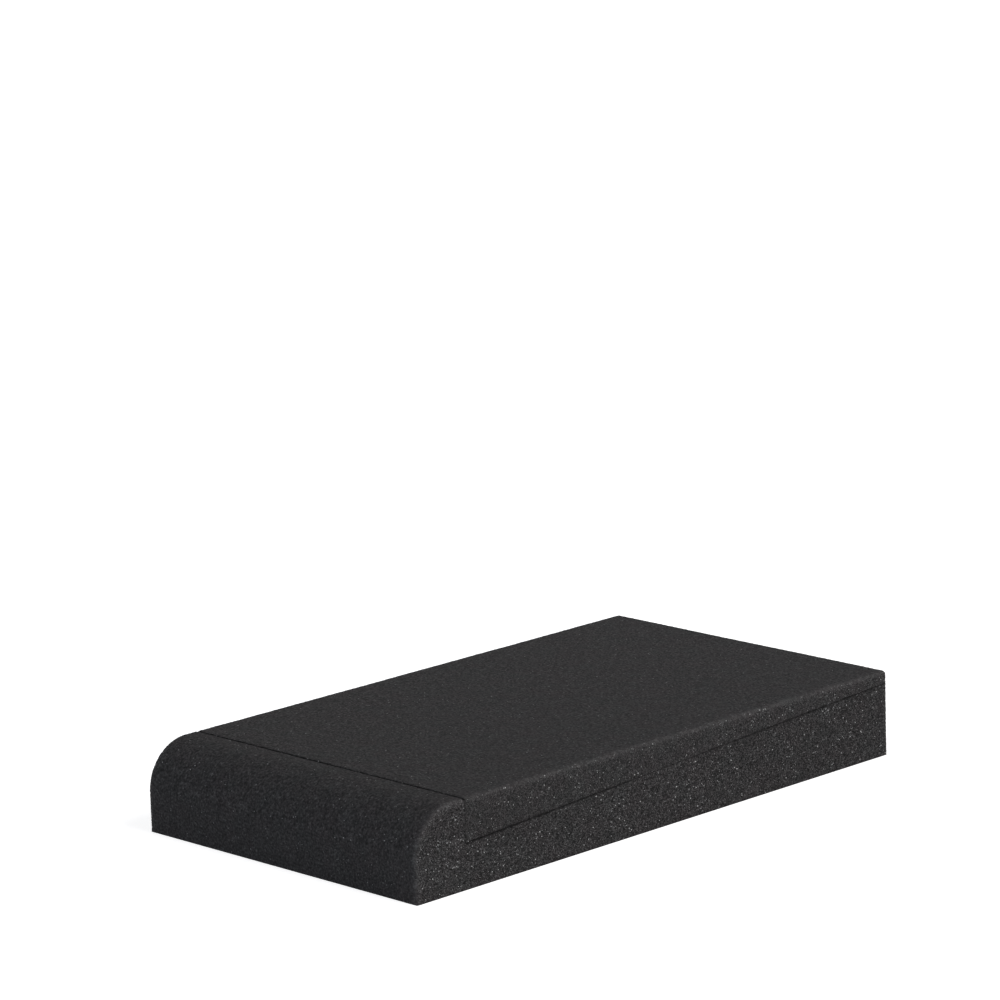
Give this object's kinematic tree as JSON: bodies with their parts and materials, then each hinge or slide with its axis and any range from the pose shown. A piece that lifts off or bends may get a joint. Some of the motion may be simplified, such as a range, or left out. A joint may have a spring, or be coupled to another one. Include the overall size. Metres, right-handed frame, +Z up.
{
  "type": "speaker isolation pad",
  "caption": "Foam isolation pad for a small speaker: a base block with a rounded nose and a sloped seat, and a loose wedge that makes its top level or tilts it.",
  "frame": {"origin": "middle of the underside, on the surface that the pad stands on", "axes": "+Z up, -Y towards the rounded nose at the front, +Y towards the back, X across the pad"},
  "size_m": [0.17, 0.3, 0.04],
  "materials": {
    "charcoal_foam": "matte open-cell polyurethane foam, charcoal, fine cut grain with small bright flecks"
  },
  "bodies": {
    "root": {"base_pad": "charcoal_foam", "wedge_insert": "charcoal_foam"}
  },
  "joints": []
}
